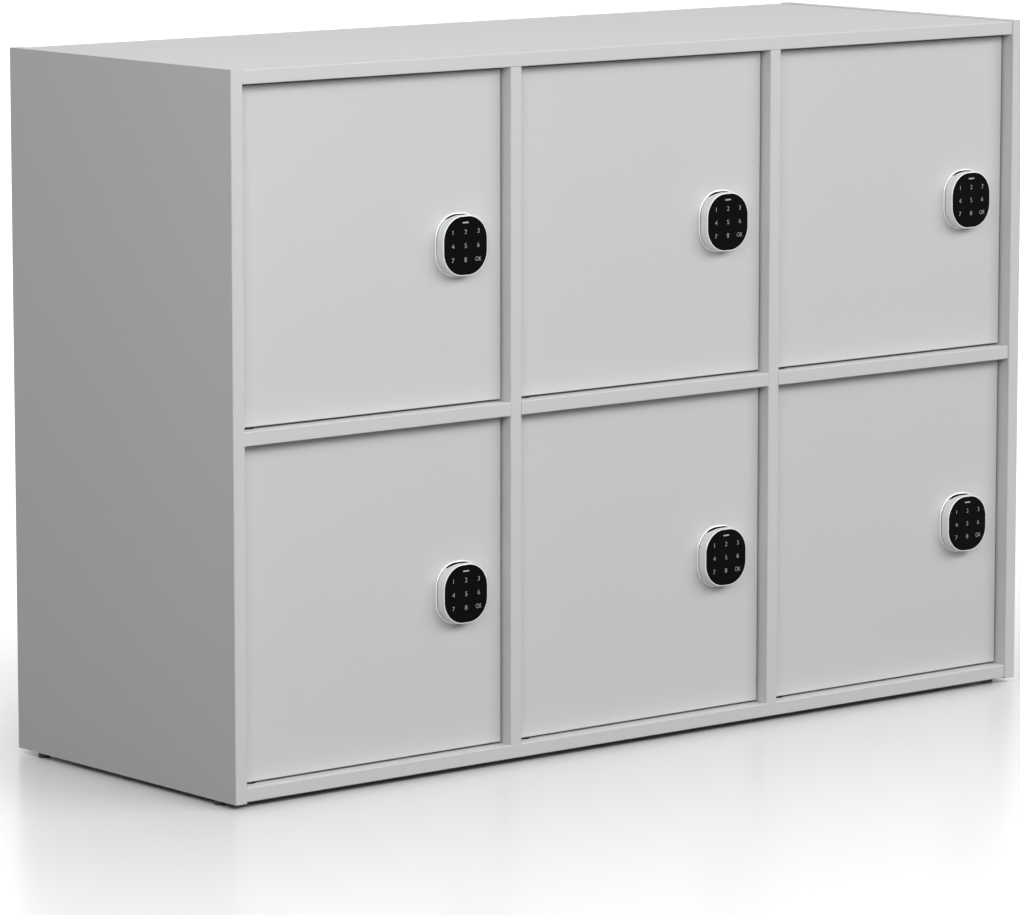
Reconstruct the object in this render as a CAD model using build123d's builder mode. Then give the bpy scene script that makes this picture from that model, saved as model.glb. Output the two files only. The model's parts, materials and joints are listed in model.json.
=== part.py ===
from build123d import *
import math
import os

# Six-door office locker cabinet in millimetres.
# X runs to the right, Y towards the back and Z up.
# The origin is on the floor, below the middle of the cabinet.

# Carcass boards
width = 1200.0
depth = 420.0
side_height = 812.0
board = 16.0
front_step = 2.0
end_step = 1.0
edge_round = 1.2
columns = ("left", "middle", "right")
rows = ("lower", "upper")

# Back panel in its grooves
back_thickness = 8.0
back_inset = 10.0
groove_depth = 8.0
groove_play = 0.1

# Glides
glide_height = 6.0
glide_radius = 7.0
centre_glide_radius = 12.0
glide_inset = 40.0
glide_round = 1.0
glide_pin_radius = 1.5
glide_pin_length = 8.0

# Doors
door_recess = 15.0
door_gap = 2.5
door_round = 1.0

# Pivot pins and bushings
corner_clearance = 0.9
running_play = 0.05
pin_radius = 3.0
pin_seat = 18.0
pin_reach = 4.5
pin_chamfer = 0.6
collar_radius = 4.2
collar_play = 0.1
bushing_radius = 5.0
bushing_depth = 6.0
flange_radius = 7.0
flange_thickness = 1.0
fit_play = 0.05

# Dowels
dowel_radius = 4.0
dowel_length = 30.0
dowel_in_face = 10.0
dowel_inset = 60.0
dowel_count = 3
dowel_end_play = 0.5

# Place of each lock in its bay
lock_inset = 65.5
lock_drop = 7.0

# Keypad module
keypad_width = 62.0
keypad_height = 66.0
keypad_corner = 27.0
keypad_proud = 0.3
keypad_round = 0.4
module_plate = 0.9
module_lip = 0.5
spindle_seat = 8.0

# Knob shell round the keypad
shell_rim = 0.9
shell_flare_side = 0.5
shell_flare_end = 1.7
shell_height = 11.1
shell_round = 0.4
shell_play = 0.1
notch_width = 42.0
notch_rise = 6.0

# Fixed lock base, its barrel and nut
rosette_margin = 0.8
rosette_thickness = 2.0
rosette_round = 1.2
knob_gap = 0.4
barrel_radius = 9.0
barrel_hole_play = 0.2
barrel_tail = 6.5
nut_across_flats = 26.0
nut_thickness = 4.5

# Spindle, cam, cam screw and the stop that ends the knob's turn
spindle_radius = 4.0
spindle_square = 5.6
cam_gap = 0.5
cam_thickness = 2.5
cam_hub_radius = 10.0
cam_arm_width = 14.0
cam_reach = 55.5
cam_screw_radius = 2.0
cam_screw_depth = 9.0
cam_screw_head_radius = 4.5
cam_screw_head = 2.4
cam_screw_round = 1.0
stop_pin_radius = 1.3
stop_pin_ring = 6.6
stop_pin_length = 2.5
stop_play = 0.1
turn_angle = 90.0

# Strike plates, their screws and the door buffers
strike_clearance = 1.0
strike_thickness = 2.0
strike_reach = 24.0
strike_height = 30.0
strike_leg = 26.0
strike_corner = 3.0
screw_radius = 1.75
screw_depth = 12.0
screw_head_radius = 3.5
screw_head = 2.2
screw_head_round = 1.0
screw_spacing = 18.0
screw_setback = 15.5
buffer_radius = 4.5
buffer_gap = 0.3
buffer_round = 1.0

# Places that follow from the sizes
front = -depth / 2
rear = depth / 2
inner_front = front + front_step
back_rear = rear - back_inset
back_front = back_rear - back_thickness
side_inside = width / 2 - board
bottom_underside = glide_height + end_step
top_surface = glide_height + side_height - end_step
inside_bottom = bottom_underside + board
inside_top = top_surface - board
bay_width = (width - (len(columns) + 1) * board) / len(columns)
bay_height = (inside_top - inside_bottom - (len(rows) - 1) * board) / len(rows)
door_front = inner_front + door_recess
door_back = door_front + board
pivot_y = door_front + board / 2
pivot_inset = (
    ((board / 2) ** 2 + door_gap**2 - corner_clearance**2)
    / (2 * (door_gap - corner_clearance))
)
cam_front = door_back + barrel_tail + cam_gap
strike_front = cam_front - strike_clearance - strike_thickness
shell_base_y = door_front - rosette_thickness - knob_gap - module_plate
shell_front_y = shell_base_y - shell_height
dowel_rows = [
    inner_front + dowel_inset
    + n * (back_front - inner_front - 2 * dowel_inset) / (dowel_count - 1)
    for n in range(dowel_count)
]


class Bay:
    """One compartment: its name, its lower left corner and the places of its fittings."""

    def __init__(self, column, row):
        self.name = f"{rows[row]}_{columns[column]}"
        self.left = -side_inside + column * (bay_width + board)
        self.right = self.left + bay_width
        self.bottom = inside_bottom + row * (bay_height + board)
        self.top = self.bottom + bay_height
        self.pivot_x = self.left + pivot_inset
        self.lock_x = self.right - lock_inset
        self.lock_z = (self.bottom + self.top) / 2 - lock_drop


bays = [Bay(column, row) for row in range(len(rows)) for column in range(len(columns))]
bottom_bays = bays[: len(columns)]
shelf_levels = [bay.bottom - board for bay in bays[len(columns) :: len(columns)]]
partition_lefts = [bay.right for bay in bottom_bays[:-1]]


def write(name, piece):
    """Labels a finished piece and writes it as a node of its own."""
    piece.part.label = name
    export_step(piece.part, f"parts/{name}.step")


def facing(y):
    """Plane that looks to the front, with X to the right and Z up, at a place along Y."""
    return Plane.XZ.offset(-y)


def make_block(low, high, play=0.0):
    """Plain box between two corners, grown by the play on every side."""
    size = [b - a + 2 * play for a, b in zip(low, high)]
    with BuildPart() as block:
        with BuildSketch(Plane.XY.offset(low[2] - play)):
            with Locations(((low[0] + high[0]) / 2, (low[1] + high[1]) / 2)):
                Rectangle(size[0], size[1])
        extrude(amount=size[2])
    return block


def make_rods(places, radius, end_play=0.0):
    """Round rods. Each place is a centre, an axis name and a length."""
    turns = {"X": (0, 90, 0), "Z": (0, 0, 0)}
    with BuildPart() as rods:
        for centre, axis, length in places:
            with Locations(Location(centre, turns[axis])):
                Cylinder(radius, length + 2 * end_play)
    return rods


def make_board(low, high, long_axis, cutters):
    """Board with rounded long front edges and the seats that its cutters leave."""
    blank = make_block(low, high)
    with BuildPart() as piece:
        add(blank.part)
        fillet(piece.edges().filter_by(long_axis).group_by(Axis.Y)[0], edge_round)
        for cutter in cutters:
            add(cutter.part, mode=Mode.SUBTRACT)
    return piece


os.makedirs("parts", exist_ok=True)

# Dowels between the boards
dowel_in_end = dowel_length - dowel_in_face
dowel_shift = dowel_length / 2 - dowel_in_face
board_undersides = [bottom_underside, inside_top, *shelf_levels]
dowel_places = []
for y in dowel_rows:
    for underside in board_undersides:
        for side in (-1, 1):
            x = side * (side_inside - dowel_shift)
            dowel_places.append(((x, y, underside + board / 2), "X", dowel_length))
    for left in partition_lefts:
        x = left + board / 2
        dowel_places.append(((x, y, inside_top - dowel_shift), "Z", dowel_length))
        dowel_places.append(((x, y, inside_bottom + dowel_shift), "Z", dowel_length))
        for level in shelf_levels:
            dowel_places.append(((x, y, level + board / 2), "X", board + 2 * dowel_in_end))
dowels = make_rods(dowel_places, dowel_radius)
dowel_holes = make_rods(dowel_places, dowel_radius + fit_play, dowel_end_play)
write("dowels", dowels)

# Back panel, and the same block with play as the cutter of its grooves
back_low = (-side_inside - groove_depth, back_front, inside_bottom - groove_depth)
back_high = (side_inside + groove_depth, back_rear, inside_top + groove_depth)
back_panel = make_block(back_low, back_high)
back_groove = make_block(back_low, back_high, groove_play)
write("back_panel", back_panel)

# Glides with their pins: those of the side panels, and taller ones below the partitions
glide_rows = (front + glide_inset, rear - glide_inset)
side_glide_places = [(side * (width - board) / 2, y) for side in (-1, 1) for y in glide_rows]
centre_glide_places = [(left + board / 2, y) for left in partition_lefts for y in glide_rows]


def make_glides(places, radius, height):
    """Round glides that stand on the floor, each with a pin in the board above."""
    with BuildPart() as glides:
        with BuildSketch():
            with Locations(*places):
                Circle(radius)
        extrude(amount=height)
        fillet(glides.edges().group_by(Axis.Z)[0], glide_round)
        with BuildSketch(Plane.XY.offset(height)):
            with Locations(*places):
                Circle(glide_pin_radius)
        extrude(amount=glide_pin_length)
    return glides


def glide_pin_holes(places, height):
    """Cutter for the seats of the glides' pins."""
    centre = height + glide_pin_length / 2
    pins = [((x, y, centre), "Z", glide_pin_length) for x, y in places]
    return make_rods(pins, glide_pin_radius + fit_play, dowel_end_play)


write("side_glides", make_glides(side_glide_places, glide_radius, glide_height))
write("centre_glides", make_glides(centre_glide_places, centre_glide_radius, bottom_underside))
side_glide_holes = glide_pin_holes(side_glide_places, glide_height)
centre_glide_holes = glide_pin_holes(centre_glide_places, bottom_underside)


# Bushings above and below each door, let in flush, with their mouths towards the door's edges
def pivot_ends():
    """Every pivot: its X, the board face that carries it, and the way from the door into the board."""
    for bay in bays:
        yield bay.pivot_x, bay.bottom, -1
        yield bay.pivot_x, bay.top, 1


with BuildPart() as pivot_bushings:
    for x, face, way in pivot_ends():
        for radius, depth_in in ((flange_radius, flange_thickness), (bushing_radius, bushing_depth)):
            with BuildSketch(Plane.XY.offset(face)):
                with Locations((x, pivot_y)):
                    Circle(radius)
            extrude(amount=way * depth_in)
        with BuildSketch(Plane.XY.offset(face)):
            with Locations((x, pivot_y)):
                Circle(pin_radius + running_play)
        extrude(amount=way * (pin_reach + running_play), mode=Mode.SUBTRACT)
write("pivot_bushings", pivot_bushings)


def bushing_seats(radius, depth_in):
    """Cutter for one step of every bushing's seat."""
    seats = [((x, pivot_y, face + way * depth_in / 2), "Z", depth_in) for x, face, way in pivot_ends()]
    return make_rods(seats, radius + fit_play, running_play)


bushing_holes = bushing_seats(bushing_radius, bushing_depth)
flange_seats = bushing_seats(flange_radius, flange_thickness)

# Strike plates with a screw leg on the bay's right wall and a leg behind the door
screw_y = strike_front + screw_setback
screw_offsets = (-screw_spacing / 2, screw_spacing / 2)

with BuildPart() as strike_plates:
    for bay in bays:
        with BuildSketch(Plane.XY.offset(bay.lock_z - strike_height / 2)):
            with Locations((bay.right - strike_reach / 2, strike_front + strike_thickness / 2)):
                Rectangle(strike_reach, strike_thickness)
            with Locations((bay.right - strike_thickness / 2, strike_front + strike_leg / 2)):
                Rectangle(strike_thickness, strike_leg)
        extrude(amount=strike_height)
    corners = strike_plates.edges().filter_by(lambda edge: abs(edge.length - strike_thickness) < 0.01)
    fillet(corners.filter_by(Axis.Z, reverse=True), strike_corner)
    for bay in bays:
        with BuildSketch(Plane.YZ.offset(bay.right)):
            with Locations(*[(screw_y, bay.lock_z + offset) for offset in screw_offsets]):
                Circle(screw_radius + fit_play)
        extrude(amount=-strike_thickness, mode=Mode.SUBTRACT)
write("strike_plates", strike_plates)

with BuildPart() as strike_screws:
    for bay in bays:
        places = [(screw_y, bay.lock_z + offset) for offset in screw_offsets]
        with BuildSketch(Plane.YZ.offset(bay.right - strike_thickness)):
            with Locations(*places):
                Circle(screw_head_radius)
        extrude(amount=-screw_head)
        fillet(strike_screws.edges(Select.LAST).group_by(Axis.X)[0], screw_head_round)
        with BuildSketch(Plane.YZ.offset(bay.right - strike_thickness)):
            with Locations(*places):
                Circle(screw_radius)
        extrude(amount=strike_thickness + screw_depth)
write("strike_screws", strike_screws)

screw_places = [
    ((bay.right + screw_depth / 2, screw_y, bay.lock_z + offset), "X", screw_depth)
    for bay in bays
    for offset in screw_offsets
]
screw_holes = make_rods(screw_places, screw_radius + fit_play, dowel_end_play)

# Rubber buffers that the closed doors rest against
with BuildPart() as door_buffers:
    for bay in bays:
        with BuildSketch(facing(strike_front)):
            with Locations((bay.right - strike_reach / 2, bay.lock_z + strike_height / 4)):
                Circle(buffer_radius)
        extrude(amount=strike_front - door_back - buffer_gap)
    fillet(door_buffers.faces().group_by(Axis.Y)[0].edges(), buffer_round)
write("door_buffers", door_buffers)

# Boards of the carcass
for name, left in (("left_side_panel", -width / 2), ("right_side_panel", side_inside)):
    side_panel = make_board(
        (left, front, glide_height),
        (left + board, rear, glide_height + side_height),
        Axis.Z,
        (dowel_holes, back_groove, side_glide_holes, screw_holes),
    )
    write(name, side_panel)

bottom_panel = make_board(
    (-side_inside, inner_front, bottom_underside),
    (side_inside, rear, inside_bottom),
    Axis.X,
    (dowel_holes, back_groove, centre_glide_holes, bushing_holes, flange_seats),
)
write("bottom_panel", bottom_panel)

top_panel = make_board(
    (-side_inside, inner_front, inside_top),
    (side_inside, rear, top_surface),
    Axis.X,
    (dowel_holes, back_groove, bushing_holes, flange_seats),
)
write("top_panel", top_panel)

for name, left in zip(("left_partition", "right_partition"), partition_lefts):
    partition = make_board(
        (left, inner_front, inside_bottom),
        (left + board, back_front, inside_top),
        Axis.Z,
        (dowel_holes, screw_holes),
    )
    write(name, partition)

for column, bay in zip(columns, bottom_bays):
    shelf = make_board(
        (bay.left, inner_front, shelf_levels[0]),
        (bay.right, back_front, shelf_levels[0] + board),
        Axis.X,
        (dowel_holes, bushing_holes, flange_seats),
    )
    write(f"{column}_shelf", shelf)


# Doors
def make_door(bay):
    """Inset door with rounded faces, the lock's hole and the seats of its pivot pins."""
    low = (bay.left + door_gap, door_front, bay.bottom + door_gap)
    high = (bay.right - door_gap, door_back, bay.top - door_gap)
    blank = make_block(low, high)
    pins = [((bay.pivot_x, pivot_y, z), "Z", 2 * pin_seat) for z in (low[2], high[2])]
    seats = make_rods(pins, pin_radius + fit_play, dowel_end_play)
    with BuildPart() as door:
        add(blank.part)
        fillet(door.edges().filter_by(Axis.Y, reverse=True), door_round)
        with BuildSketch(facing(door_front)):
            with Locations((bay.lock_x, bay.lock_z)):
                Circle(barrel_radius + barrel_hole_play)
        extrude(amount=-board, mode=Mode.SUBTRACT)
        add(seats.part, mode=Mode.SUBTRACT)
    return door


def make_pivot_pins(bay):
    """Two pins let into the door's edges, each with a collar in the gap."""
    collar = door_gap - collar_play
    with BuildPart() as pins:
        for edge, way in ((bay.bottom + door_gap, -1), (bay.top - door_gap, 1)):
            with BuildSketch(Plane.XY.offset(edge - way * pin_seat)):
                with Locations((bay.pivot_x, pivot_y)):
                    Circle(pin_radius)
            extrude(amount=way * (pin_seat + door_gap + pin_reach))
            with BuildSketch(Plane.XY.offset(edge)):
                with Locations((bay.pivot_x, pivot_y)):
                    Circle(collar_radius)
            extrude(amount=way * collar)
        tips = pins.edges().filter_by(GeomType.CIRCLE).sort_by(Axis.Z)
        chamfer([tips[0], tips[-1]], pin_chamfer)
    return pins


# Keypad knob lock
def keypad_outline(grow_side, grow_end):
    """Oval of the keypad, grown at its sides and at its ends."""
    return RectangleRounded(
        keypad_width + 2 * grow_side,
        keypad_height + 2 * grow_end,
        keypad_corner + min(grow_side, grow_end),
    )


shell_foot = (shell_rim + shell_flare_side, shell_rim + shell_flare_end)
stop_start = -90 - turn_angle / 2
stop_arc = CenterArc((0, 0), stop_pin_ring, stop_start, turn_angle)


def make_lock_base(bay):
    """Fixed rosette against the door, its barrel through the door and the stop pin on the barrel's end."""
    with BuildPart() as base:
        with BuildSketch(facing(door_front)):
            with Locations((bay.lock_x, bay.lock_z)):
                keypad_outline(shell_foot[0] + rosette_margin, shell_foot[1] + rosette_margin)
        extrude(amount=rosette_thickness)
        fillet(base.faces().sort_by(Axis.Y)[0].edges(), rosette_round)
        with BuildSketch(facing(door_front)):
            with Locations((bay.lock_x, bay.lock_z)):
                Circle(barrel_radius)
        extrude(amount=-(board + barrel_tail))
        with BuildSketch(facing(door_front - rosette_thickness)):
            with Locations((bay.lock_x, bay.lock_z)):
                Circle(spindle_radius + running_play)
        extrude(amount=-(rosette_thickness + board + barrel_tail), mode=Mode.SUBTRACT)
        with BuildSketch(facing(door_back + barrel_tail)):
            with Locations((bay.lock_x, bay.lock_z)):
                with PolarLocations(stop_pin_ring, 1, start_angle=stop_start):
                    Circle(stop_pin_radius)
        extrude(amount=-stop_pin_length)
    return base


def make_lock_nut(bay):
    """Hexagon nut that holds the barrel behind the door."""
    with BuildPart() as nut:
        with BuildSketch(facing(door_back)):
            with Locations((bay.lock_x, bay.lock_z)):
                RegularPolygon(nut_across_flats / 2 / math.cos(math.pi / 6), 6)
                Circle(barrel_radius + fit_play, mode=Mode.SUBTRACT)
        extrude(amount=-nut_thickness)
    return nut


def make_lock_shell(bay):
    """Light ring round the keypad, open at its top where a finger grips the knob."""
    with BuildPart() as shell:
        with BuildSketch(facing(shell_base_y)):
            with Locations((bay.lock_x, bay.lock_z)):
                keypad_outline(*shell_foot)
        with BuildSketch(facing(shell_front_y)):
            with Locations((bay.lock_x, bay.lock_z)):
                keypad_outline(shell_rim, shell_rim)
        loft()
        fillet(shell.faces().sort_by(Axis.Y)[0].edges(), shell_round)
        with BuildSketch(facing(shell_base_y)):
            with Locations((bay.lock_x, bay.lock_z)):
                keypad_outline(shell_play, shell_play)
        extrude(amount=shell_height, mode=Mode.SUBTRACT)
        with BuildSketch(Plane.XY.offset(bay.lock_z)):
            with Locations((bay.lock_x, shell_base_y)):
                Ellipse(notch_width / 2, notch_rise)
        extrude(amount=keypad_height, mode=Mode.SUBTRACT)
    return shell


def make_lock_keypad(bay):
    """Black module: a plate behind the shell and the keypad that fills the shell."""
    with BuildPart() as keypad:
        with BuildSketch(facing(shell_base_y + module_plate)):
            with Locations((bay.lock_x, bay.lock_z)):
                keypad_outline(shell_foot[0] - module_lip, shell_foot[1] - module_lip)
        extrude(amount=module_plate)
        with BuildSketch(facing(shell_base_y)):
            with Locations((bay.lock_x, bay.lock_z)):
                keypad_outline(0, 0)
        extrude(amount=shell_height + keypad_proud)
        fillet(keypad.faces().sort_by(Axis.Y)[0].edges(), keypad_round)
        with BuildSketch(facing(shell_base_y + module_plate)):
            with Locations((bay.lock_x, bay.lock_z)):
                Circle(spindle_radius + fit_play)
        extrude(amount=spindle_seat, mode=Mode.SUBTRACT)
    return keypad


def make_lock_cam(bay):
    """Spindle, cam and cam screw. The cam points up when the door is free to open.

    The slot opposite its arm runs on the stop pin of the lock base and ends the turn both ways.
    """
    spindle_front = shell_base_y + module_plate - spindle_seat
    with BuildPart() as cam:
        with BuildSketch(facing(spindle_front)):
            with Locations((bay.lock_x, bay.lock_z)):
                Circle(spindle_radius)
        extrude(amount=-(cam_front - fit_play - spindle_front))
        with BuildSketch(facing(cam_front - fit_play)):
            with Locations((bay.lock_x, bay.lock_z)):
                Rectangle(spindle_square, spindle_square)
        extrude(amount=-cam_thickness)
        with BuildSketch(facing(cam_front + cam_thickness)):
            with Locations((bay.lock_x, bay.lock_z)):
                Circle(cam_screw_radius + fit_play)
        extrude(amount=cam_thickness + cam_screw_depth, mode=Mode.SUBTRACT)
        with BuildSketch(facing(cam_front)):
            with Locations((bay.lock_x, bay.lock_z)):
                Circle(cam_hub_radius)
            with Locations((bay.lock_x, bay.lock_z + (cam_reach - cam_arm_width / 2) / 2)):
                Rectangle(cam_arm_width, cam_reach - cam_arm_width / 2)
            with Locations((bay.lock_x, bay.lock_z + cam_reach - cam_arm_width / 2)):
                Circle(cam_arm_width / 2)
            with Locations((bay.lock_x, bay.lock_z)):
                square = spindle_square + 2 * fit_play
                Rectangle(square, square, mode=Mode.SUBTRACT)
                SlotArc(stop_arc, 2 * (stop_pin_radius + stop_play), mode=Mode.SUBTRACT)
        extrude(amount=-cam_thickness)
        with BuildSketch(facing(cam_front + cam_thickness + fit_play)):
            with Locations((bay.lock_x, bay.lock_z)):
                Circle(cam_screw_head_radius)
        extrude(amount=-cam_screw_head)
        fillet(cam.edges(Select.LAST).group_by(Axis.Y)[-1], cam_screw_round)
        with BuildSketch(facing(cam_front + cam_thickness + fit_play)):
            with Locations((bay.lock_x, bay.lock_z)):
                Circle(cam_screw_radius)
        extrude(amount=cam_thickness + cam_screw_depth)
    return cam


makers = {
    "door": make_door,
    "pivot_pins": make_pivot_pins,
    "lock_base": make_lock_base,
    "lock_nut": make_lock_nut,
    "lock_shell": make_lock_shell,
    "lock_keypad": make_lock_keypad,
    "lock_cam": make_lock_cam,
}
for bay in bays:
    for name, maker in makers.items():
        write(f"{name}_{bay.name}", maker(bay))
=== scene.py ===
import bmesh
import bpy
import json
import math
from mathutils import Matrix, Vector


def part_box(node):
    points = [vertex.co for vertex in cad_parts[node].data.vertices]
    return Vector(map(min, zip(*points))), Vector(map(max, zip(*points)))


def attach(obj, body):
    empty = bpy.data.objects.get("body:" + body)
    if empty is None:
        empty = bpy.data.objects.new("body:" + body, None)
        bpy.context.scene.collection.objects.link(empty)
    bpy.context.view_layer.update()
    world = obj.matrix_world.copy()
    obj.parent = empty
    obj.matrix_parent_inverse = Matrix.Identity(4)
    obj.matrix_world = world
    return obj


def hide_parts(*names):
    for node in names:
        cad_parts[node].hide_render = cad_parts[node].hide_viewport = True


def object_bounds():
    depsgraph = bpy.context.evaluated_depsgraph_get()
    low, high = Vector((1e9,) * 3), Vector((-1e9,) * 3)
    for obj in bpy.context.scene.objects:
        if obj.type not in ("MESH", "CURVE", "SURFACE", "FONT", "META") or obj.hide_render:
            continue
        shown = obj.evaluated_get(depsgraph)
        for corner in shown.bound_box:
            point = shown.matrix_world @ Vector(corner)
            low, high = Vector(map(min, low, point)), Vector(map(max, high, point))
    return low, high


# Looks of a six-door office locker cabinet, in metres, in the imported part's own frame.
# X runs to the right, Y towards the back and Z up.

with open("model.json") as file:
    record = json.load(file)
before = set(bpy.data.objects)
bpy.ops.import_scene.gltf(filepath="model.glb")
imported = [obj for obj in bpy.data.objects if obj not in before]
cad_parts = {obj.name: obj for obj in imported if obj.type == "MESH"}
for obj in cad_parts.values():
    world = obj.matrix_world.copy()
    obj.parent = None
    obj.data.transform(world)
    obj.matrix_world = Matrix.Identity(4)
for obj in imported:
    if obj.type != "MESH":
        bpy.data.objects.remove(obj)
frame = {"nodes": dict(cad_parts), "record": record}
cad_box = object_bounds()
nodes = frame["nodes"]
scene = bpy.context.scene

# Camera: its place, its turn and dip in degrees, and its lens from a focal length in pixels
camera_place = (-4.24554, -5.10368, 1.30301)
camera_turn = 39.5227
camera_dip = 8.4802
camera_reach = 100.0
sensor_width = 36.0
image_width = 1020
focal_length = 5639.96
camera_lens = focal_length / image_width * sensor_width

# Tones, as linear RGB
white = (1.0, 1.0, 1.0)
board_tone = (0.655, 0.655, 0.655)
back_tone = (0.66, 0.66, 0.655)
lock_tone = (0.86, 0.87, 0.88)
keypad_tone = (0.002, 0.0022, 0.002)
print_tone = (0.55, 0.56, 0.57)
zinc_tone = (0.56, 0.57, 0.58)
steel_tone = (0.50, 0.50, 0.50)
black_steel_tone = (0.09, 0.09, 0.095)
nylon_tone = (0.032, 0.032, 0.034)
rubber_tone = (0.045, 0.045, 0.048)
glide_tone = (0.035, 0.035, 0.037)
beech_tone = (0.52, 0.36, 0.21)

# Board finish: waves to the metre, the levels they run between, and the depth of the skin
cloud_waves = 4.0
cloud_levels = (-0.012, 0.012)
speck_waves = 1400.0
speck_levels = (0.985, 1.015)
gloss_waves = 60.0
board_roughness = (0.52, 0.62)
board_gloss = 0.3
skin_waves = 900.0
skin_depth = 0.00004

# Edge bands of the boards, with the hairline where a band meets the face
carcass_band = 0.002
door_band = 0.0011
hairline = 0.00012
hairline_level = 0.8

# Plastic and paint: faint mottling, and the swing in roughness from handling
mottle_waves = 35.0
mottle_levels = (0.97, 1.03)
wear_waves = 180.0
wear_swing = 0.05
lock_roughness = 0.34
lock_metal = 0.6

# Metal: cloudy plating over drawn lines
plating_waves = 90.0
plating_levels = (0.9, 1.08)
line_swing = 0.08
line_depth = 0.00002

# Beech
beech_waves = 300.0
beech_levels = (0.8, 1.15)
beech_roughness = 0.7
beech_depth = 0.0001

# Thread of the lock's barrel behind the door
thread_pitch = 0.0015
thread_depth = thread_pitch / 3

# Cross recesses of the screws: half the arm's length, half its width, and depth
strike_cross = (0.0021, 0.0006, 0.0012)
cam_cross = (0.0027, 0.0007, 0.0014)

# How much of its width a cross keeps at its bottom, and its start outside the head as a share of its depth
cross_taper = 0.55
cross_rise = 0.25

# Screws: the distance that joins corners, the crease angle in degrees, and how near two levels count as one
screw_weld = 0.000002
screw_crease = 35
same_level = 0.0001

# Keypad print: its sizes, and an extrusion that only has to be more than nothing
digit_height = 0.0050
digit_stretch = 1.12
word_stretch = 0.8
digit_thinning = 0.018
digit_pitch = (0.0184, 0.0158)
digit_rows = (("1", "2", "3"), ("4", "5", "6"), ("7", "8", "OK"))
print_lift = 0.00002
print_thickness = 0.00006
print_weld = 0.0000005
status_bar_size = (0.0088, 0.0015)
status_bar_rise = 0.0262
bar_end_steps = 8
letter_extrude = 0.01

# Floor: its level when seen and for bounced light, and where its painted glow turns it white with distance
floor_tone = 0.93
floor_bounce = 0.05
floor_roughness = 0.25
floor_gloss = 0.3
floor_reach = 30.0
# The glow is painted light: the floor gets brighter away from the cabinet by emission, not by lamps
glow_start = 0.0
glow_end = 1.3

# Lamps: place, target, size in metres and power in watts
lamps = {
    "key_lamp": ((2.3, -3.5, 2.8), (0.1, -0.2, 0.5), (4.0, 1.8), 101.0),
    "front_fill": ((-0.6, -4.0, 2.7), (0.0, -0.2, 0.5), (3.6, 1.8), 56.0),
    "side_fill": ((-2.0, -1.7, 1.6), (-0.6, -0.15, 0.5), (1.0, 1.0), 17.1),
    "left_fill": ((-2.4, 0.6, 1.4), (-0.7, 0.0, 0.3), (1.4, 1.0), 3.4),
    "rear_fill": ((0.2, 3.0, 0.42), (0.0, 0.2, 0.42), (1.8, 0.6), 22.0),
    "top_lamp": ((0.0, 0.9, 2.8), (0.0, 0.0, 0.8), (2.4, 1.6), 11.4),
}
world_level = 0.3

bay_names = [f"{row}_{column}" for row in ("lower", "upper") for column in ("left", "middle", "right")]


# Helpers
def add_object(name, data):
    """A new object in the scene."""
    new_object = bpy.data.objects.new(name, data)
    scene.collection.objects.link(new_object)
    return new_object


def lowest_and_highest(points):
    """The two opposite corners of the box round some points."""
    low = Vector([min(point[axis] for point in points) for axis in range(3)])
    high = Vector([max(point[axis] for point in points) for axis in range(3)])
    return low, high


def start_material(name):
    """An empty node material with its main shader."""
    material = bpy.data.materials.new(name)
    material.use_nodes = True
    tree = material.node_tree
    shader = tree.nodes["Principled BSDF"]
    return material, tree, shader


def math_node(tree, operation, *inputs):
    """The result of one sum on numbers or sockets."""
    node = tree.nodes.new("ShaderNodeMath")
    node.operation = operation
    for slot_number, value in enumerate(inputs):
        if isinstance(value, (int, float)):
            node.inputs[slot_number].default_value = value
        else:
            tree.links.new(value, node.inputs[slot_number])
    return node.outputs[0]


def object_place(tree):
    """The point on the object, in metres."""
    return tree.nodes.new("ShaderNodeTexCoord").outputs["Object"]


def parts_of(tree, vector):
    """The X, Y and Z of a vector."""
    node = tree.nodes.new("ShaderNodeSeparateXYZ")
    tree.links.new(vector, node.inputs["Vector"])
    return node.outputs


def near(tree, value, target, width):
    """One where a value lies within half the width of a target, and zero elsewhere."""
    return math_node(tree, "COMPARE", value, target, width / 2)


def noise(tree, place, waves, detail=2.0, roughness=0.5):
    """Noise of that many waves to the metre, from 0 to 1."""
    node = tree.nodes.new("ShaderNodeTexNoise")
    node.inputs["Scale"].default_value = waves
    node.inputs["Detail"].default_value = detail
    node.inputs["Roughness"].default_value = roughness
    tree.links.new(place, node.inputs["Vector"])
    return node.outputs["Fac"]


def spread(tree, value, low, high):
    """Maps a value from 0 to 1 onto a range."""
    node = tree.nodes.new("ShaderNodeMapRange")
    node.inputs["To Min"].default_value = low
    node.inputs["To Max"].default_value = high
    tree.links.new(value, node.inputs["Value"])
    return node.outputs["Result"]


def tinted(tree, tone, factor):
    """A colour whose level follows a factor."""
    node = tree.nodes.new("ShaderNodeVectorMath")
    node.operation = "SCALE"
    node.inputs[0].default_value = tone
    tree.links.new(factor, node.inputs["Scale"])
    return node.outputs["Vector"]


def bump(tree, shader, height, distance, strength=1.0):
    """Raises the surface by a height between 0 and 1 times the distance."""
    node = tree.nodes.new("ShaderNodeBump")
    node.inputs["Distance"].default_value = distance
    node.inputs["Strength"].default_value = strength
    tree.links.new(height, node.inputs["Height"])
    tree.links.new(node.outputs["Normal"], shader.inputs["Normal"])


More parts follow.
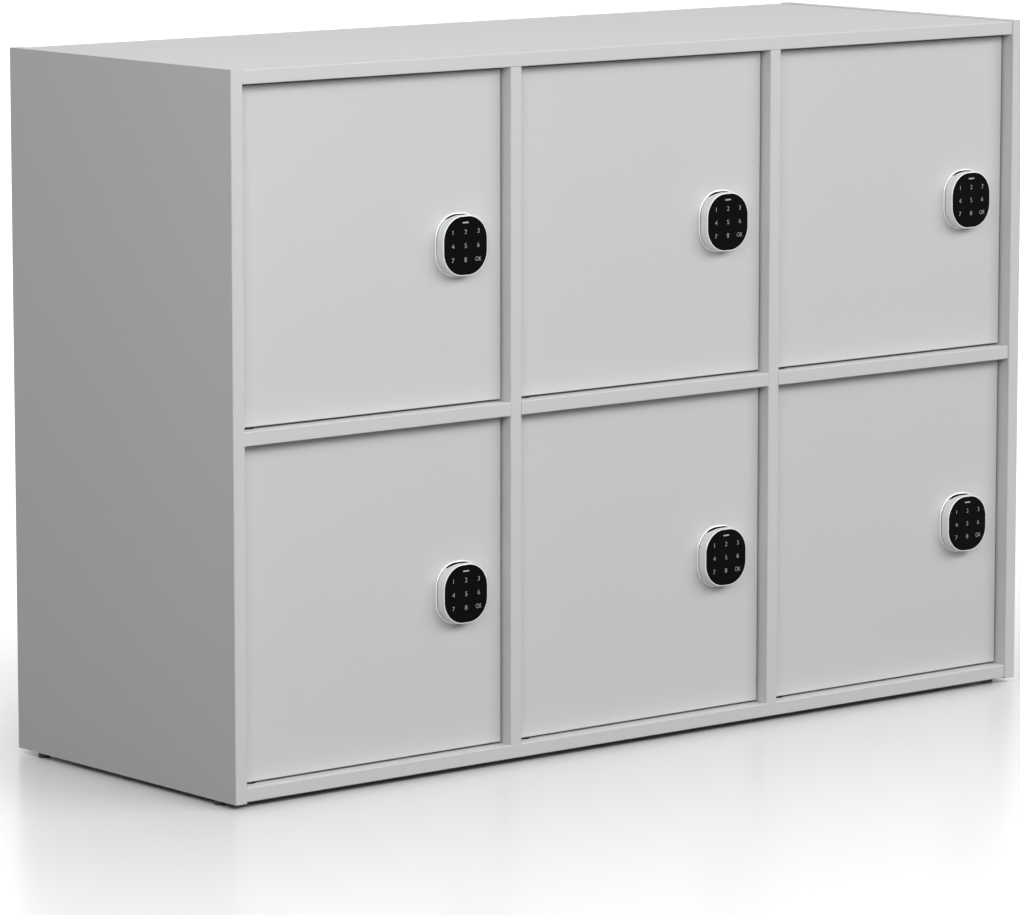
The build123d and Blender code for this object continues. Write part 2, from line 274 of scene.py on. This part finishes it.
# Materials
def make_board_material(name, tone, seam=None):
    """Melamine-faced board: a pebbled skin, faint clouding, a satin finish and the edge bands' hairline."""
    material, tree, shader = start_material(name)
    place = object_place(tree)
    cloud = spread(tree, noise(tree, place, cloud_waves, detail=3.0), *cloud_levels)
    speck = spread(tree, noise(tree, place, speck_waves), *speck_levels)
    level = math_node(tree, "ADD", cloud, speck)
    if seam:
        level = math_node(tree, "MULTIPLY", level, spread(tree, seam(tree), 1.0, hairline_level))
    tree.links.new(tinted(tree, tone, level), shader.inputs["Base Color"])
    gloss = spread(tree, noise(tree, place, gloss_waves, detail=4.0), *board_roughness)
    tree.links.new(gloss, shader.inputs["Roughness"])
    shader.inputs["Specular IOR Level"].default_value = board_gloss
    skin = noise(tree, place, skin_waves, detail=3.0, roughness=0.6)
    bump(tree, shader, skin, skin_depth, strength=0.5)
    return material


def front_seam(board_name):
    """The hairline behind the front edge band of a carcass board."""
    seam_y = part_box(board_name)[0].y + carcass_band

    def mask(tree):
        return near(tree, parts_of(tree, object_place(tree))["Y"], seam_y, hairline)

    return mask


def door_seam(tree):
    """The hairline inside the four edge bands of any door, by the place within its own box."""
    low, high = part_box("door_lower_left")
    share = parts_of(tree, tree.nodes.new("ShaderNodeTexCoord").outputs["Generated"])
    ways_in = []
    for axis, size in (("X", high.x - low.x), ("Z", high.z - low.z)):
        off_centre = math_node(tree, "ABSOLUTE", math_node(tree, "SUBTRACT", share[axis], 0.5))
        ways_in.append(math_node(tree, "MULTIPLY", math_node(tree, "SUBTRACT", 0.5, off_centre), size))
    return near(tree, math_node(tree, "MINIMUM", *ways_in), door_band, hairline)


def colour_plastic(tree, shader, place, tone, roughness):
    """Gives a shader a faintly mottled tone and a roughness that varies with handling."""
    level = spread(tree, noise(tree, place, mottle_waves, detail=3.0), *mottle_levels)
    tree.links.new(tinted(tree, tone, level), shader.inputs["Base Color"])
    wear = noise(tree, place, wear_waves, detail=4.0)
    worn = spread(tree, wear, roughness - wear_swing, roughness + wear_swing)
    tree.links.new(worn, shader.inputs["Roughness"])


def make_plastic_material(name, tone, roughness, grain, grain_depth, specular=0.5, metallic=0.0):
    """Moulded plastic with a fine eroded grain, plain or with a metal effect paint."""
    material, tree, shader = start_material(name)
    place = object_place(tree)
    colour_plastic(tree, shader, place, tone, roughness)
    shader.inputs["Specular IOR Level"].default_value = specular
    shader.inputs["Metallic"].default_value = metallic
    bump(tree, shader, noise(tree, place, grain), grain_depth, strength=0.6)
    return material


def make_lock_base_material(name, tone):
    """The lock's silver paint, with a turned thread on the barrel behind the door."""
    material, tree, shader = start_material(name)
    place = object_place(tree)
    colour_plastic(tree, shader, place, tone, lock_roughness)
    shader.inputs["Metallic"].default_value = lock_metal
    along = parts_of(tree, place)["Y"]
    turns = math_node(tree, "SINE", math_node(tree, "MULTIPLY", along, 2 * math.pi / thread_pitch))
    behind_door = math_node(tree, "GREATER_THAN", along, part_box("door_lower_left")[1].y)
    thread = math_node(tree, "MULTIPLY", math_node(tree, "MULTIPLY_ADD", turns, 0.5, 0.5), behind_door)
    bump(tree, shader, thread, thread_depth)
    return material


def make_metal_material(name, tone, roughness, line_waves):
    """Plated or turned steel with fine drawn lines and a cloudy plating."""
    material, tree, shader = start_material(name)
    place = object_place(tree)
    stretch = tree.nodes.new("ShaderNodeMapping")
    stretch.inputs["Scale"].default_value = line_waves
    tree.links.new(place, stretch.inputs["Vector"])
    lines = noise(tree, stretch.outputs["Vector"], 1.0, detail=3.0, roughness=0.7)
    level = spread(tree, noise(tree, place, plating_waves, detail=4.0), *plating_levels)
    tree.links.new(tinted(tree, tone, level), shader.inputs["Base Color"])
    shader.inputs["Metallic"].default_value = 1.0
    drawn = spread(tree, lines, roughness - line_swing, roughness + line_swing)
    tree.links.new(drawn, shader.inputs["Roughness"])
    bump(tree, shader, lines, line_depth, strength=0.4)
    return material


def make_wood_material(name, tone):
    """Beech with a fine short grain."""
    material, tree, shader = start_material(name)
    place = object_place(tree)
    grain = noise(tree, place, beech_waves, detail=5.0, roughness=0.6)
    tree.links.new(tinted(tree, tone, spread(tree, grain, *beech_levels)), shader.inputs["Base Color"])
    shader.inputs["Roughness"].default_value = beech_roughness
    bump(tree, shader, grain, beech_depth, strength=0.5)
    return material


side_board = make_board_material("melamine_side", board_tone, front_seam("left_side_panel"))
lock_base = make_lock_base_material("lock_base_silver_paint", lock_tone)
print_grey = make_plastic_material(
    "keypad_print", print_tone, roughness=0.5, grain=3000.0, grain_depth=0.00001, specular=0.2
)
finishes = {
    "carcass_board": make_board_material("melamine_board", board_tone, front_seam("top_panel")),
    "door_board": make_board_material("melamine_door", board_tone, door_seam),
    "back_board": make_board_material("melamine_back", back_tone),
    "dowel_wood": make_wood_material("beech_dowel", beech_tone),
    "glide_plastic": make_plastic_material(
        "glide_plastic", glide_tone, roughness=0.5, grain=1500.0, grain_depth=0.00004, specular=0.4
    ),
    "bushing_plastic": make_plastic_material(
        "nylon_bushing", nylon_tone, roughness=0.45, grain=1500.0, grain_depth=0.00002
    ),
    "pin_steel": make_metal_material(
        "black_oxide_steel", black_steel_tone, roughness=0.42, line_waves=(250.0, 250.0, 1200.0)
    ),
    "zinc_steel": make_metal_material(
        "zinc_plated_steel", zinc_tone, roughness=0.34, line_waves=(300.0, 300.0, 2200.0)
    ),
    "screw_steel": make_metal_material(
        "turned_steel", steel_tone, roughness=0.28, line_waves=(200.0, 200.0, 3000.0)
    ),
    "buffer_rubber": make_plastic_material(
        "buffer_rubber", rubber_tone, roughness=0.75, grain=1200.0, grain_depth=0.00005, specular=0.25
    ),
    "lock_grey": make_plastic_material(
        "lock_silver_paint", lock_tone, lock_roughness, grain=2500.0, grain_depth=0.00001, metallic=lock_metal
    ),
    "keypad_black": make_plastic_material(
        "keypad_black_gloss", keypad_tone, roughness=0.14, grain=500.0, grain_depth=0.000004, specular=0.03
    ),
}
slot_of = {entry["node"]: entry["material_slot"] for entry in frame["record"]["subparts"]}
for name, piece in nodes.items():
    finish = finishes[slot_of[name]]
    if name.endswith("side_panel"):
        finish = side_board
    elif name.startswith("lock_base"):
        finish = lock_base
    for slot in piece.material_slots:
        slot.material = finish


# Cross recesses in the screws
def welded_copy(name):
    """A mesh like a CAD node's, with its corners joined up."""
    mesh = nodes[name].data.copy()
    shell = bmesh.new()
    shell.from_mesh(mesh)
    bmesh.ops.remove_doubles(shell, verts=shell.verts, dist=screw_weld)
    shell.to_mesh(mesh)
    shell.free()
    return mesh


def solid_boxes(mesh):
    """The lowest and highest corner of each separate solid in a mesh."""
    shell = bmesh.new()
    shell.from_mesh(mesh)
    reached = set()
    boxes = []
    for first in shell.verts:
        if first in reached:
            continue
        reached.add(first)
        queue = [first]
        group = []
        while queue:
            vertex = queue.pop()
            group.append(vertex.co.copy())
            for edge in vertex.link_edges:
                other = edge.other_vert(vertex)
                if other not in reached:
                    reached.add(other)
                    queue.append(other)
        boxes.append(lowest_and_highest(group))
    shell.free()
    return boxes


def add_crosses(places, outward, sizes):
    """Tapered crosses that start just outside screw heads and sink into them."""
    arm, half_width, depth = sizes
    outward = Vector(outward)
    across = Vector((0, 0, 1))
    along = outward.cross(across)
    quarter = ((half_width, arm), (half_width, half_width), (arm, half_width))
    outline = []
    for turn in range(4):
        outline += quarter
        quarter = [(b, -a) for a, b in quarter]
    crosses = bmesh.new()
    for place in places:
        rings = []
        for rise, scale in ((depth * cross_rise, 1.0), (-depth, cross_taper)):
            ring = [place + outward * rise + (across * a + along * b) * scale for a, b in outline]
            rings.append([crosses.verts.new(point) for point in ring])
        crosses.faces.new(rings[0])
        crosses.faces.new(reversed(rings[1]))
        for number, corner in enumerate(rings[0]):
            after = (number + 1) % len(outline)
            crosses.faces.new((corner, rings[1][number], rings[1][after], rings[0][after]))
    bmesh.ops.recalc_face_normals(crosses, faces=crosses.faces)
    mesh = bpy.data.meshes.new("crosses")
    crosses.to_mesh(mesh)
    crosses.free()
    return add_object("crosses", mesh)


def recess_screws(name, body, head_of, outward, sizes):
    """Puts a piece like a CAD node in its place, with a cross cut into the head of each screw."""
    mesh = welded_copy(name)
    places = [head_of(low, high) for low, high in solid_boxes(mesh)]
    cutter = add_crosses([place for place in places if place], outward, sizes)
    piece = add_object(f"{name}_crossed", mesh)
    cut = piece.modifiers.new("crosses", "BOOLEAN")
    cut.operation = "DIFFERENCE"
    cut.solver = "EXACT"
    cut.object = cutter
    bpy.context.view_layer.update()
    evaluated = piece.evaluated_get(bpy.context.evaluated_depsgraph_get())
    piece.modifiers.clear()
    piece.data = bpy.data.meshes.new_from_object(evaluated)
    bpy.data.objects.remove(cutter)
    piece.data.set_sharp_from_angle(angle=math.radians(screw_crease))
    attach(piece, body)
    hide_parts(name)


def strike_head(low, high):
    """The middle of a strike screw's head."""
    return Vector((low.x, (low.y + high.y) / 2, (low.z + high.z) / 2))


def cam_head(low, high):
    """The middle of a cam screw's head, or nothing for the cam and the spindle."""
    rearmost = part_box("lock_cam_lower_left")[1].y
    if high.y < rearmost - same_level:
        return None
    return Vector(((low.x + high.x) / 2, high.y, (low.z + high.z) / 2))


recess_screws("strike_screws", "cabinet", strike_head, (-1, 0, 0), strike_cross)
for bay in bay_names:
    recess_screws(f"lock_cam_{bay}", f"knob_{bay}", cam_head, (0, 1, 0), cam_cross)


# Keypad print
def symbol_mesh(symbol):
    """A printed character or word as a thin solid, centred on its own middle."""
    curve = bpy.data.curves.new("print", "FONT")
    curve.body = symbol
    curve.offset = -digit_thinning
    curve.extrude = letter_extrude
    words = add_object("print", curve)
    bpy.context.view_layer.update()
    mesh = bpy.data.meshes.new_from_object(words)
    bpy.data.objects.remove(words)
    low, high = lowest_and_highest([vertex.co for vertex in mesh.vertices])
    scale = digit_height / (high.y - low.y)
    stretch = digit_stretch if len(symbol) == 1 else word_stretch
    for vertex in mesh.vertices:
        x, y, z = (vertex.co - (low + high) / 2) * scale
        vertex.co = (x * stretch, y, math.copysign(print_thickness / 2, z))
    return mesh


def bar_mesh(size, thickness):
    """A thin bar with round ends."""
    half_height = size[1] / 2
    straight = size[0] / 2 - half_height
    outline = []
    for side in (1, -1):
        for step in range(bar_end_steps + 1):
            angle = math.radians(-90 + step * 180 / bar_end_steps)
            point = (straight + half_height * math.cos(angle), half_height * math.sin(angle))
            outline.append((side * point[0], side * point[1]))
    count = len(outline)
    corners = [(x, y, level) for level in (thickness / 2, -thickness / 2) for x, y in outline]
    faces = [tuple(range(count)), tuple(reversed(range(count, 2 * count)))]
    for corner in range(count):
        after = (corner + 1) % count
        faces.append((corner, corner + count, after + count, after))
    mesh = bpy.data.meshes.new("status_bar")
    mesh.from_pydata(corners, [], faces)
    return mesh


def keypad_marks():
    """All the printed marks of one keypad, around the middle of its face."""
    marks = [(bar_mesh(status_bar_size, print_thickness), 0, status_bar_rise)]
    for row, symbols in enumerate(digit_rows):
        for column, symbol in enumerate(symbols):
            marks.append((symbol_mesh(symbol), (column - 1) * digit_pitch[0], (1 - row) * digit_pitch[1]))
    shell = bmesh.new()
    for mesh, across, up in marks:
        mesh.transform(Matrix.Translation((across, up, 0)))
        shell.from_mesh(mesh)
    bmesh.ops.remove_doubles(shell, verts=shell.verts, dist=print_weld)
    mesh = bpy.data.meshes.new("keypad_print")
    shell.to_mesh(mesh)
    shell.free()
    mesh.shade_flat()
    mesh.materials.append(print_grey)
    return mesh


marks = keypad_marks()
for bay in bay_names:
    low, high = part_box(f"lock_keypad_{bay}")
    printed = add_object(f"keypad_print_{bay}", marks.copy())
    printed.location = ((low.x + high.x) / 2, low.y - print_lift, (low.z + high.z) / 2)
    printed.rotation_euler = (math.radians(90), 0, 0)
    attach(printed, f"knob_{bay}")


# Floor, world and lamps
def seen_ray(tree):
    """One for rays that the camera sees directly, in gloss or through glass."""
    paths = tree.nodes.new("ShaderNodeLightPath")
    gloss = math_node(tree, "MAXIMUM", paths.outputs["Is Glossy Ray"], paths.outputs["Is Transmission Ray"])
    return math_node(tree, "MAXIMUM", paths.outputs["Is Camera Ray"], gloss)


def vector_step(tree, operation, *inputs):
    """A node for one sum on vectors."""
    node = tree.nodes.new("ShaderNodeVectorMath")
    node.operation = operation
    tree.links.new(inputs[0], node.inputs[0])
    for slot_number, value in enumerate(inputs[1:], start=1):
        node.inputs[slot_number].default_value = value
    return node


def distance_glow(tree):
    """Zero beside the cabinet and one where the floor's painted glow has turned it white with distance."""
    from_middle = vector_step(tree, "ABSOLUTE", object_place(tree)).outputs["Vector"]
    past_box = vector_step(tree, "SUBTRACT", from_middle, tuple(cad_box[1])).outputs["Vector"]
    outside = vector_step(tree, "MAXIMUM", past_box, (0, 0, 0)).outputs["Vector"]
    distance = vector_step(tree, "LENGTH", outside).outputs["Value"]
    fade = tree.nodes.new("ShaderNodeMapRange")
    fade.inputs["From Min"].default_value = glow_start
    fade.inputs["From Max"].default_value = glow_end
    tree.links.new(distance, fade.inputs["Value"])
    return fade.outputs["Result"]


def make_floor_material():
    """A white floor that bounces little light and glows to pure white with distance: an even white backdrop
    far off, with a painted brightening in between.
    """
    material, tree, shader = start_material("floor_white")
    seen = seen_ray(tree)
    glow = distance_glow(tree)
    lit_share = math_node(tree, "MULTIPLY_ADD", glow, -floor_tone, floor_tone)
    above_bounce = math_node(tree, "SUBTRACT", lit_share, floor_bounce)
    level = math_node(tree, "MULTIPLY_ADD", seen, above_bounce, floor_bounce)
    tree.links.new(tinted(tree, white, level), shader.inputs["Base Color"])
    shader.inputs["Emission Color"].default_value = (*white, 1)
    # Painted light: where the camera sees it, the floor glows by emission, more with distance from the
    # cabinet, so the floor beside the cabinet stays darker
    tree.links.new(math_node(tree, "MULTIPLY", seen, glow), shader.inputs["Emission Strength"])
    shader.inputs["Roughness"].default_value = floor_roughness
    shader.inputs["Specular IOR Level"].default_value = floor_gloss
    return material


def add_area(name, place, target, size, power):
    """A soft lamp that faces a point."""
    lamp = bpy.data.lights.new(name, "AREA")
    lamp.shape = "RECTANGLE"
    lamp.size = size[0]
    lamp.size_y = size[1]
    lamp.energy = power
    holder = add_object(name, lamp)
    holder.location = place
    way = Vector(target) - Vector(place)
    holder.rotation_euler = way.to_track_quat("-Z", "Y").to_euler()
    holder.visible_camera = False


floor_mesh = bpy.data.meshes.new("floor")
floor_corners = [(x * floor_reach, y * floor_reach, 0) for x, y in ((-1, -1), (1, -1), (1, 1), (-1, 1))]
floor_mesh.from_pydata(floor_corners, [], [(0, 1, 2, 3)])
floor_mesh.materials.append(make_floor_material())
add_object("floor", floor_mesh)

world = bpy.data.worlds.new("studio")
scene.world = world
world.use_nodes = True
sky = world.node_tree
sky_mix = sky.nodes.new("ShaderNodeMix")
sky_mix.data_type = "RGBA"
sky.links.new(seen_ray(sky), sky_mix.inputs["Factor"])
sky_mix.inputs["A"].default_value = (world_level, world_level, world_level, 1)
sky_mix.inputs["B"].default_value = (*white, 1)
sky.links.new(sky_mix.outputs["Result"], sky.nodes["Background"].inputs["Color"])

for name, (place, target, size, power) in lamps.items():
    add_area(name, place, target, size, power)

scene.view_settings.view_transform = "Standard"

camera_data = bpy.data.cameras.new("camera")
camera_data.sensor_width = sensor_width
camera_data.lens = camera_lens
camera_data.clip_end = camera_reach
camera = add_object("camera", camera_data)
camera.location = camera_place
camera.rotation_euler = (math.radians(90 - camera_dip), 0, -math.radians(camera_turn))
scene.camera = camera
